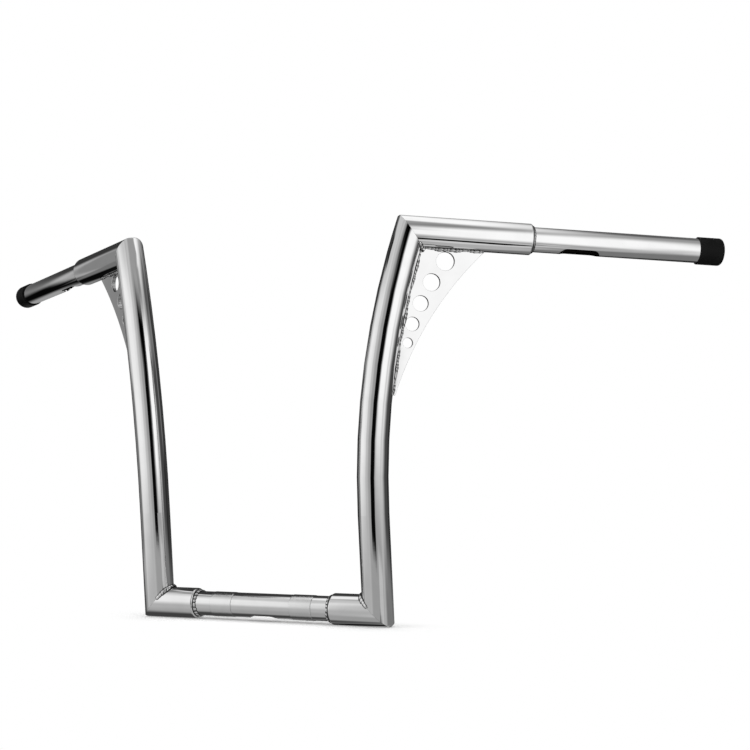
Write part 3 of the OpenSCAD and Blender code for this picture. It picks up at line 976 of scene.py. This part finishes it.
@dataclass(frozen=True)
class Wire:
    """A small helper that places nodes in a tree and joins their sockets."""

    tree: bpy.types.NodeTree

    def put(self, value: object, socket: Socket) -> None:
        """Joins an output to an input, or sets the input to a plain value.

        Args:
            value: The output, or the value. A colour has three numbers.
            socket: The input.
        """
        if isinstance(value, Socket):
            self.tree.links.new(value, socket)
        else:
            socket.default_value = (*value, 1.0) if socket.type == "RGBA" else value

    def node(self, kind: str, *first: object, **settings: object) -> bpy.types.Node:
        """Adds a node.

        Args:
            kind: Its type.
            first: Outputs or values for its first inputs, in their order.
            settings: Values for the node's properties by their names, and outputs or values for the inputs by
                theirs, with an underscore for a space.

        Returns:
            The node.
        """
        made = self.tree.nodes.new(kind)
        for key, value in settings.items():
            if hasattr(made, key):
                setattr(made, key, value)
            else:
                self.put(value, made.inputs[key.replace("_", " ")])
        for value, socket in zip(first, made.inputs):
            self.put(value, socket)
        return made

    def math(self, operation: str, *values: object, clamp: bool = False) -> Socket:
        """A Math node on values or outputs, and its output."""
        return self.node("ShaderNodeMath", *values, operation=operation, use_clamp=clamp).outputs[0]

    def vector(self, operation: str, *values: object) -> bpy.types.bpy_prop_collection:
        """A Vector Math node on values or outputs, and its outputs."""
        return self.node("ShaderNodeVectorMath", *values, operation=operation).outputs

    def ramp(self, value: Socket, **limits: object) -> Socket:
        """A Map Range node on an output, and its output."""
        return self.node("ShaderNodeMapRange", value, **limits).outputs[0]

    def blend(self, mask: Socket, under: object, over: Colour) -> Socket:
        """Lays a colour over another one.

        Args:
            mask: Where it lies.
            under: The other colour, or an output that gives it.
            over: The colour on top.

        Returns:
            The result.
        """
        mix = self.node("ShaderNodeMix", mask, data_type="RGBA")
        self.put(under, mix.inputs[6])
        self.put(over, mix.inputs[7])
        return mix.outputs[2]


def group_tree(name: str, vectors: tuple[str, ...], numbers: dict[str, float],
               outputs: tuple[str, ...]) -> tuple[Wire, bpy.types.bpy_prop_collection, bpy.types.bpy_prop_collection]:
    """Starts a shader node group.

    Args:
        name: The group's name.
        vectors: Its vector inputs.
        numbers: Its float inputs, with the values that they have when nothing is joined.
        outputs: Its float outputs.

    Returns:
        The group's wire helper, the sockets that give its inputs, and the sockets that take its outputs.
    """
    tree = bpy.data.node_groups.new(name, "ShaderNodeTree")
    for key in vectors:
        tree.interface.new_socket(name=key, in_out="INPUT", socket_type="NodeSocketVector")
    for key, value in numbers.items():
        tree.interface.new_socket(name=key, in_out="INPUT", socket_type="NodeSocketFloat").default_value = value
    for key in outputs:
        tree.interface.new_socket(name=key, in_out="OUTPUT", socket_type="NodeSocketFloat")
    wire = Wire(tree)
    return wire, wire.node("NodeGroupInput").outputs, wire.node("NodeGroupOutput").inputs


class Effects:
    """The shader node groups that the finishes share, each built once."""

    @staticmethod
    @cache
    def polish() -> bpy.types.NodeTree:
        """Long waves left by the polishing wheel, and the fine haze of handling.

        Height is a slow noise plus a faster, weaker one. Patches is where the haze lies, from 0 to 1.

        Returns:
            The node group.
        """
        wire, given, out = group_tree("wheel_polish", ("Vector",), {
            "Wave Scale": 18.0, "Fine Scale": 140.0, "Fine Share": 0.12, "Haze Scale": 26.0}, ("Height", "Patches"))
        at = given["Vector"]
        slow = wire.node("ShaderNodeTexNoise", Vector=at, Scale=given["Wave Scale"], Detail=1.0, Roughness=0.35)
        fast = wire.node("ShaderNodeTexNoise", Vector=at, Scale=given["Fine Scale"], Detail=2.0, Roughness=0.5)
        haze = wire.node("ShaderNodeTexNoise", Vector=at, Scale=given["Haze Scale"], Detail=5.0, Roughness=0.62,
                         Distortion=0.6)
        weak = wire.math("MULTIPLY", fast.outputs[0], given["Fine Share"])
        wire.put(wire.math("ADD", slow.outputs[0], weak), out["Height"])
        wire.put(wire.ramp(haze.outputs[0], From_Min=0.42, From_Max=0.68), out["Patches"])
        return wire.tree

    @staticmethod
    @cache
    def moulding() -> bpy.types.NodeTree:
        """The surface of moulded plastic: a fine pebble grain as Height, and the patches of dust as Patches.

        Returns:
            The node group.
        """
        wire, given, out = group_tree("moulded_grain", ("Vector",), {"Grain Scale": 1500.0, "Dust Scale": 90.0},
                                      ("Height", "Patches"))
        at = given["Vector"]
        grain = wire.node("ShaderNodeTexVoronoi", Vector=at, Scale=given["Grain Scale"])
        dust = wire.node("ShaderNodeTexNoise", Vector=at, Scale=given["Dust Scale"], Detail=6.0, Roughness=0.7)
        wire.put(grain.outputs["Distance"], out["Height"])
        wire.put(wire.ramp(dust.outputs[0], From_Min=0.5, From_Max=0.75), out["Patches"])
        return wire.tree

    @staticmethod
    @cache
    def bore() -> bpy.types.NodeTree:
        """A mask that is 1 in a tube's bore: where the distance from the axis through Point is below Limit.

        Returns:
            The node group.
        """
        wire, given, out = group_tree("inside_bore", ("Vector", "Point", "Axis"), {"Limit": 0.011}, ("Mask",))
        away = wire.vector("SUBTRACT", given["Vector"], given["Point"])[0]
        distance = wire.vector("LENGTH", wire.vector("CROSS_PRODUCT", away, given["Axis"])[0])["Value"]
        wire.put(wire.math("LESS_THAN", distance, given["Limit"]), out["Mask"])
        return wire.tree

    @staticmethod
    @cache
    def cut_edge_shade() -> bpy.types.NodeTree:
        """A mask that is 1 on a plate's cut edges, where they get painted shade: where the distance from its middle
        plane is below Limit.

        Returns:
            The node group.
        """
        wire, given, out = group_tree("plate_cut_edge_shade", ("Vector", "Point", "Axis"), {"Limit": 0.0024}, ("Mask",))
        away = wire.vector("SUBTRACT", given["Vector"], given["Point"])[0]
        distance = wire.math("ABSOLUTE", wire.vector("DOT_PRODUCT", away, given["Axis"])["Value"])
        wire.put(wire.math("LESS_THAN", distance, given["Limit"]), out["Mask"])
        return wire.tree


@dataclass(frozen=True)
class Finish:
    """A procedural finish: a clean surface with patches of something duller over it, and a relief.

    Args:
        name: The material's name.
        colour: Colour of the clean surface.
        patches: Colour of the patches.
        roughness: Roughness of the clean surface.
        patch_roughness: Roughness of the patches.
        relief: Height of the relief, in metres.
        relief_strength: How much of that relief shows.
    """

    name: str
    colour: Colour
    patches: Colour
    roughness: float
    patch_roughness: float
    relief: float
    relief_strength: float

    def effect(self) -> bpy.types.NodeTree:
        """The group that gives the relief's Height and the mask of the Patches."""
        raise NotImplementedError

    def constants(self) -> dict[str, float]:
        """The shader's other sockets that have a value of their own."""
        raise NotImplementedError

    def marks(self, wire: Wire, at: Socket) -> list[tuple[Socket, Colour, float]]:
        """The painted shade over all this, each place with its mask, colour and roughness. A plain finish has none.
        """
        return []

    def material(self) -> bpy.types.Material:
        """The finish as a material, made at its first use.

        Returns:
            The material.
        """
        found = bpy.data.materials.get(self.name)
        if found is not None:
            return found
        made = bpy.data.materials.new(self.name)
        made.use_nodes = True
        wire, inputs = Wire(made.node_tree), made.node_tree.nodes["Principled BSDF"].inputs
        for key, value in self.constants().items():
            wire.put(value, inputs[key])
        at = wire.node("ShaderNodeTexCoord").outputs["Object"]
        effect = wire.node("ShaderNodeGroup", node_tree=self.effect(), Vector=at).outputs
        colour = wire.blend(effect["Patches"], self.colour, self.patches)
        roughness = wire.ramp(effect["Patches"], To_Min=self.roughness, To_Max=self.patch_roughness)
        # Painted shade: each such place gets a dark colour, and a dark Specular Tint so that it mirrors little.
        for mask, dark, dull in self.marks(wire, at):
            colour = wire.blend(mask, colour, dark)
            roughness = wire.math("MAXIMUM", roughness, wire.math("MULTIPLY", mask, dull))
            wire.put(wire.blend(mask, (1.0, 1.0, 1.0), dark), inputs["Specular Tint"])
        bump = wire.node("ShaderNodeBump", Strength=self.relief_strength, Distance=self.relief,
                         Height=effect["Height"])
        for value, key in ((colour, "Base Color"), (roughness, "Roughness"), (bump.outputs[0], "Normal")):
            wire.put(value, inputs[key])
        return made


@dataclass(frozen=True)
class Chrome(Finish):
    """Polished chrome plate over steel, with a haze of handling.

    Args:
        valley: Colour of the painted shade in the valleys of a weld and along its toes, or None for none.
        valley_shade_ramp: The ripple values at which the painted shade is as dark as it gets, and at which it ends.
        valley_roughness: Roughness of a valley.
        bore_axis: A point on a tube's axis and the axis, both in metres, where the tube's bore, bare steel inside, is
            painted in shade.
        bore_shade_colour: Colour of the bore: near black, painted shade over the bare steel.
        bore_roughness: Its roughness.
        plate: A point on a plate's middle plane, its normal and its half thickness, within which its cut edges are
            rougher and painted darker as shade.
        edge: Brightness of that painted shade.
        edge_roughness: Their roughness.
    """

    colour: Colour = (0.88, 0.88, 0.88)
    patches: Colour = (0.83, 0.83, 0.83)
    roughness: float = 0.012
    patch_roughness: float = 0.035
    relief: float = 0.00012
    relief_strength: float = 1.0
    valley: Colour | None = None
    valley_shade_ramp: tuple[float, float] = (0.12, 0.85)
    valley_roughness: float = 0.22
    bore_axis: tuple[Place, Place] | None = None
    # Near black: painted shade in the bore, over the bare steel.
    bore_shade_colour: Colour = (0.03, 0.028, 0.026)
    bore_roughness: float = 0.6
    plate: tuple[Place, Place, float] | None = None
    edge: float = 0.0
    edge_roughness: float = 0.25

    def effect(self) -> bpy.types.NodeTree:
        """The polishing waves and the haze."""
        return Effects.polish()

    def constants(self) -> dict[str, float]:
        """Chrome is a metal."""
        return {"Metallic": 1.0}

    def marks(self, wire: Wire, at: Socket) -> list[tuple[Socket, Colour, float]]:
        """The painted shade: in weld valleys and along weld toes, in a tube's bore, and on a plate's cut edges.

        Args:
            wire: The material's wire helper.
            at: The object coordinates.

        Returns:
            For each of them its mask, its colour and its roughness.
        """
        marks = []
        if self.valley is not None:
            ripple = wire.node("ShaderNodeAttribute", attribute_name="ripple").outputs["Fac"]
            low, high = self.valley_shade_ramp
            mask = wire.ramp(ripple, From_Min=low, From_Max=high, To_Min=1.0, To_Max=0.0)
            marks.append((mask, self.valley, self.valley_roughness))
        if self.bore_axis is not None:
            point, axis = self.bore_axis
            bore = wire.node("ShaderNodeGroup", node_tree=Effects.bore(), Vector=at, Point=point, Axis=axis)
            marks.append((bore.outputs["Mask"], self.bore_shade_colour, self.bore_roughness))
        if self.plate is not None:
            point, axis, half = self.plate
            edge = wire.node("ShaderNodeGroup", node_tree=Effects.cut_edge_shade(), Vector=at, Point=point, Axis=axis,
                             Limit=half)
            marks.append((edge.outputs["Mask"], (self.edge,) * 3, self.edge_roughness))
        return marks


@dataclass(frozen=True)
class MouldedPlastic(Finish):
    """Matt black moulded plastic with a fine grain and a little dust.

    Args:
        gloss: Level of its reflections, where 0.5 is usual.
    """

    colour: Colour = (0.003, 0.003, 0.003)
    patches: Colour = (0.007, 0.007, 0.007)
    roughness: float = 0.5
    patch_roughness: float = 0.62
    relief: float = 0.000006
    relief_strength: float = 0.6
    gloss: float = 0.12

    def effect(self) -> bpy.types.NodeTree:
        """The grain and the dust."""
        return Effects.moulding()

    def constants(self) -> dict[str, float]:
        """How much the plastic reflects."""
        return {"Specular IOR Level": self.gloss}


@dataclass
class TubeWork:
    """The carried-over tubes, stubs and risers."""

    def finish(self, name: str) -> Chrome:
        """The chrome of a node. The wiring slots show the bores of the thin tubes, so theirs knows the axis of the
        painted shade in the bore.

        Args:
            name: The node's name.

        Returns:
            The finish.
        """
        if name == "clamp_tube":
            return Chrome("clamp_tube_chrome", bore_axis=((0.0, 0.0, 0.0), (1.0, 0.0, 0.0)))
        if name.startswith("grip_tube"):
            side = Side[name.split("_")[-1].upper()]
            axis = tuple(PLAN.upper_corner * side.turn * MM), tuple(PLAN.grip_axis * side.turn)
            return Chrome(f"grip_tube_chrome_{side.word}", bore_axis=axis)
        return Chrome("polished_tube_chrome")

    def make(self) -> list[Piece]:
        """Puts chrome on every solid that stays, and gives them back."""
        return [dress(node, self.finish(name)) for name, node in sorted(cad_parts.items())
                if not node.hide_render]


@dataclass(frozen=True)
class TentPanel:
    """A soft-edged sheet of the studio tent, as bright or as dark as its material.

    Args:
        azimuth: Middle of the sheet, in degrees from +X towards +Y.
        elevation: Middle of the sheet, in degrees above the horizon.
        wide: Half of its width, in degrees.
        high: Half of its height, in degrees.
        level: Brightness, where 1 is white paper.
        feather: Width of its soft edge, in degrees.
    """

    azimuth: float
    elevation: float
    wide: float
    high: float
    level: float
    feather: float


def shader_only(name: str) -> tuple[bpy.types.Material, Wire, Socket]:
    """Starts a material of plain shaders.

    Args:
        name: The material's name.

    Returns:
        The material, its wire helper and the socket that takes its surface.
    """
    made = bpy.data.materials.new(name)
    made.use_nodes = True
    nodes = made.node_tree.nodes
    nodes.remove(nodes["Principled BSDF"])
    return made, Wire(made.node_tree), nodes["Material Output"].inputs["Surface"]


@dataclass
class StudioTent:
    """The sheets round the bar that its chrome mirrors. Only reflections see them.

    Args:
        centre: Middle of the tent.
        radius: Its radius.
        base: Brightness where no sheet hangs.
        steps: Steps round it, and from bottom to top.
        pole: Height angle of its last row, in degrees.
        panels: The sheets, each laid over the ones before it.
    """

    centre: Place = (50.0, -50.0, 200.0)
    radius: float = 650.0
    base: float = 0.36
    steps: tuple[int, int] = (600, 300)
    pole: float = 89.7
    panels: tuple[TentPanel, ...] = tuple(TentPanel(*row) for row in (
        (-146, 5, 25.5, 40.1, 0.956, 24.4), (-123, 1, 11.4, 32.3, 0.880, 13.3), (-107, 0, 10.0, 59.9, 0.580, 17.1),
        (-149, 44, 24.4, 14.3, 0.62, 21.6), (-133, -34, 37.8, 15.2, 0.476, 28.4), (-202, 60, 31.6, 11.5, 0.988, 12.3),
        (176, 40, 17.1, 3.8, 0.017, 3.6), (137, 31, 33.4, 14.4, 0.041, 16.0), (-61, 3, 14.4, 30.2, 0.002, 4.5),
        (-72, 29, 4.3, 8.7, 0.146, 9.9), (-54, 35, 27.0, 9.7, 0.000, 15.2), (-16, 15, 25.2, 27.4, 1.082, 23.7),
        (-26, 52, 19.7, 3.5, 0.224, 21.2), (-3, -18, 3.3, 23.4, 0.536, 17.3), (41, 4, 19.2, 25.5, 0.062, 18.3),
        (68, -13, 13.2, 15.2, 0.012, 9.8), (80, 8, 3.0, 8.0, 0.869, 4.7), (83, 0, 17.8, 38.2, 0.038, 18.5),
        (136, 1, 5.9, 26.7, 0.033, 12.9), (50, 43, 18.8, 10.8, 0.108, 15.8), (49, 67, 50.7, 12.1, 1.109, 24.0),
        (15, -50, 41.2, 10.2, 0.692, 10.7), (36, -53, 37.4, 21.4, 0.473, 18.0), (48, -35, 40.1, 15.1, 0.200, 12.3),
        (151, -20, 17.5, 22.6, 0.003, 5.3), (174, -3, 8.3, 29.0, 0.871, 8.0), (160, -2, 5.3, 15.6, 0.002, 5.4),
        (173, 6, 6.4, 20.3, 0.254, 4.5), (117, -39, 16.1, 13.3, 1.160, 5.1), (154, -50, 28.9, 33.7, 0.055, 30.1),
        (113, -50, 10.0, 22.7, 0.002, 15.6), (173, -8, 12.4, 11.5, 0.182, 3.4), (-36, 9, 5.0, 13.0, 1.060, 5.0),
        (114, 2, 21.0, 21.0, 0.040, 12.0), (-23, -29, 12.0, 5.0, 0.560, 4.0), (-25, -39, 13.5, 6.2, 0.002, 3.0),
    ))

    def level(self, azimuth: Array, elevation: Array) -> Array:
        """Brightness towards a direction: the base with each panel laid over it in turn, through its soft edges.

        Args:
            azimuth: The direction, in degrees from +X towards +Y.
            elevation: Its height angle, in degrees.

        Returns:
            The brightness, where 1 is white paper.
        """
        value = np.full(azimuth.shape, self.base)
        for panel in self.panels:
            away = np.abs((azimuth - panel.azimuth + 180.0) % 360.0 - 180.0)
            up, soft = np.abs(elevation - panel.elevation), panel.feather / 2.0
            mask = (1.0 - smooth_step(away, panel.wide - soft, panel.wide + soft)) * (
                1.0 - smooth_step(up, panel.high - soft, panel.high + soft))
            value = value + mask * (panel.level - value)
        return value

    def make(self) -> None:
        """Makes the tent as a ball with its brightness as a point attribute."""
        az = np.radians(np.linspace(-180.0, 180.0, self.steps[0], endpoint=False))[None, :]
        el = np.radians(np.linspace(-self.pole, self.pole, self.steps[1]))[:, None]
        az, el = az + 0.0 * el, el + 0.0 * az
        ball = np.stack([np.cos(el) * np.cos(az), np.cos(el) * np.sin(az), np.sin(el)], -1)
        tent = make_mesh("studio_tent", [SurfaceGrid(np.array(self.centre) + self.radius * ball)],
                         {"level": [self.level(np.degrees(az), np.degrees(el))]})
        made, wire, surface = shader_only("tent_sheets")
        level = wire.node("ShaderNodeAttribute", attribute_name="level").outputs["Fac"]
        wire.put(wire.node("ShaderNodeEmission", Strength=level).outputs[0], surface)
        tent.data.materials.append(made)
        tent.visible_camera = tent.visible_diffuse = tent.visible_transmission = tent.visible_shadow = False


@dataclass(frozen=True)
class Lamp:
    """A square soft lamp. The chrome mirrors the tent instead of it.

    Args:
        name: The lamp's name.
        place: Where it stands, in metres.
        size: Its width, in metres.
        power: Its power, in watts.
    """

    name: str
    place: Place
    size: float
    power: float

    def make(self, aim: Place) -> None:
        """Hangs the lamp.

        Args:
            aim: The point that it is turned to, in metres.
        """
        data = bpy.data.lights.new(self.name, "AREA")
        data.size, data.energy = self.size, self.power
        lamp = bpy.data.objects.new(self.name, data)
        lamp.location = self.place
        lamp.rotation_euler = (Vector(aim) - Vector(self.place)).to_track_quat("-Z", "Y").to_euler()
        lamp.visible_glossy = False
        bpy.context.scene.collection.objects.link(lamp)


@dataclass
class Studio:
    """The pale floor, the white surroundings, the lamps and the tent.

    Args:
        floor_drop: How far the floor lies below the clamp tube's centre line.
        floor_size: Its width, in metres.
        shaded: Half widths of the lit paper round the bar's foot, in metres.
        fade: Where that paper starts to turn into plain white and where it has, as shares of those half widths.
        paper: Brightness of the paper.
        lift: What is added to it for the rays that see the background.
        air: Strength of the surroundings for all other rays.
        aim: Where the lamps point, in metres.
        lamps: The lamps.
    """

    floor_drop: float = 15.9
    floor_size: float = 12.0
    shaded: tuple[float, float] = (0.24, 0.07)
    fade: tuple[float, float] = (0.55, 1.0)
    paper: float = 0.86
    lift: float = 0.155
    air: float = 0.55
    aim: Place = (0.05, 0.0, 0.2)
    lamps: tuple[Lamp, ...] = (
        Lamp("lamp_front_left", (-1.4, -1.6, 1.5), 1.4, 20.0),
        Lamp("lamp_front_right", (1.8, -1.2, 1.2), 1.2, 12.0),
        Lamp("lamp_top", (0.0, 0.3, 2.2), 1.8, 16.0),
    )

    def white_rays(self, wire: Wire) -> Socket:
        """1 for the rays that see the background: from the camera, off glossy metal and through glass.

        Args:
            wire: The wire helper of the tree that asks.

        Returns:
            The output that says so.
        """
        path = wire.node("ShaderNodeLightPath").outputs
        seen = wire.math("ADD", path["Is Camera Ray"], path["Is Glossy Ray"], clamp=True)
        return wire.math("ADD", seen, path["Is Transmission Ray"], clamp=True)

    def world(self) -> None:
        """White surroundings for what sees them, and a plain soft light for everything else."""
        world = bpy.data.worlds.new("studio_air")
        bpy.context.scene.world = world
        world.use_nodes = True
        wire, back = Wire(world.node_tree), world.node_tree.nodes["Background"].inputs
        wire.put((1.0, 1.0, 1.0), back["Color"])
        extra = wire.math("MULTIPLY", self.white_rays(wire), 1.0 - self.air)
        wire.put(wire.math("ADD", extra, self.air), back["Strength"])

    def floor(self) -> None:
        """A large white floor. Round the bar's foot it is lit paper that keeps the shadow, and beyond that white."""
        half, z = self.floor_size / 2.0, -self.floor_drop * MM
        mesh = bpy.data.meshes.new("studio_floor")
        mesh.from_pydata([(-half, -half, z), (half, -half, z), (half, half, z), (-half, half, z)], [], [(0, 1, 2, 3)])
        floor = bpy.data.objects.new("studio_floor", mesh)
        bpy.context.scene.collection.objects.link(floor)
        made, wire, surface = shader_only("white_floor")
        white = self.white_rays(wire)
        paper = wire.node("ShaderNodeBsdfDiffuse", Color=(self.paper,) * 3).outputs[0]
        glow = wire.node("ShaderNodeEmission", Strength=wire.math("MULTIPLY", white, self.lift)).outputs[0]
        near = wire.node("ShaderNodeAddShader", paper, glow).outputs[0]
        blank = wire.node("ShaderNodeEmission", Strength=1.0).outputs[0]
        at = wire.node("ShaderNodeTexCoord").outputs["Object"]
        spread = wire.node("ShaderNodeMapping", vector_type="TEXTURE", Vector=at, Scale=(*self.shaded, 1.0))
        away = wire.vector("LENGTH", spread.outputs[0])["Value"]
        fade = wire.ramp(away, interpolation_type="SMOOTHSTEP", From_Min=self.fade[0], From_Max=self.fade[1])
        both = wire.node("ShaderNodeMixShader", wire.math("MULTIPLY", fade, white), near, blank)
        wire.put(both.outputs[0], surface)
        mesh.materials.append(made)
        floor.visible_glossy = False

    def make(self) -> None:
        """Builds the whole studio."""
        self.world()
        self.floor()
        for lamp in self.lamps:
            lamp.make(self.aim)
        StudioTent().make()


@dataclass(frozen=True)
class ViewCamera:
    """The photograph's camera, fitted to the edges of the tubes.

    Args:
        azimuth: Turn round the bar from straight in front, in radians.
        elevation: Height angle, in radians.
        distance: Distance to the target, in millimetres.
        target: The point in the middle of the picture, in millimetres.
        focal: Focal length, in pixels of the frame.
        frame_width: Width of the frame, in pixels.
        sensor: Width of the sensor, in millimetres.
        clip: The nearest and the farthest distance that it sees, in metres.
    """

    azimuth: float = 0.4231
    elevation: float = -0.0724
    distance: float = 1409.38
    target: Place = (125.019, 0.0, 236.035)
    focal: float = 1393.535
    frame_width: float = 750.0
    sensor: float = 36.0
    clip: tuple[float, float] = (0.01, 50.0)

    def make(self) -> None:
        """Creates the camera, turns it to the target and makes it the scene's."""
        a, e = self.azimuth, self.elevation
        back = np.array([math.sin(a) * math.cos(e), -math.cos(a) * math.cos(e), math.sin(e)])
        right = np.array([math.cos(a), math.sin(a), 0.0])
        place = (np.array(self.target) + self.distance * back) * MM
        data = bpy.data.cameras.new("photo_camera")
        data.sensor_width, data.lens = self.sensor, self.focal / self.frame_width * self.sensor
        data.clip_start, data.clip_end = self.clip
        camera = bpy.data.objects.new("photo_camera", data)
        turn = np.eye(4)
        turn[:3] = np.stack([right, np.cross(back, right), back, place], axis=1)
        camera.matrix_world = Matrix(turn.tolist())
        bpy.context.scene.collection.objects.link(camera)
        bpy.context.scene.camera = camera


def main() -> None:
    logging.basicConfig(level=logging.INFO, format="%(name)s: %(message)s")
    bpy.context.scene.view_settings.view_transform = "Standard"
    ViewCamera().make()
    # Near black in the weld valleys and along the toes: painted shade.
    weld_chrome = Chrome("beaded_weld_chrome", patches=(0.74, 0.74, 0.74), relief=0.00006, roughness=0.05,
                         valley=(0.025, 0.025, 0.025))
    for what, make, *finish in (
        ("corner welds", CornerWelds().make, weld_chrome),
        ("collar welds", CollarWelds().make, weld_chrome),
        ("gusset welds", GussetWelds().make, weld_chrome),
        ("gusset plates", GussetPlates().make),
        ("knurled bands", KnurledBands().make, Chrome("knurl_chrome", relief=0.00003)),
        ("end caps", EndCaps().make, MouldedPlastic("matt_cap_plastic")),
        ("tubes", TubeWork().make),
    ):
        for piece in make(*finish):
            log.info("%s: %s, %d faces", what, piece.name, len(piece.data.polygons))
    Studio().make()


if __name__ == "__main__":
    main()
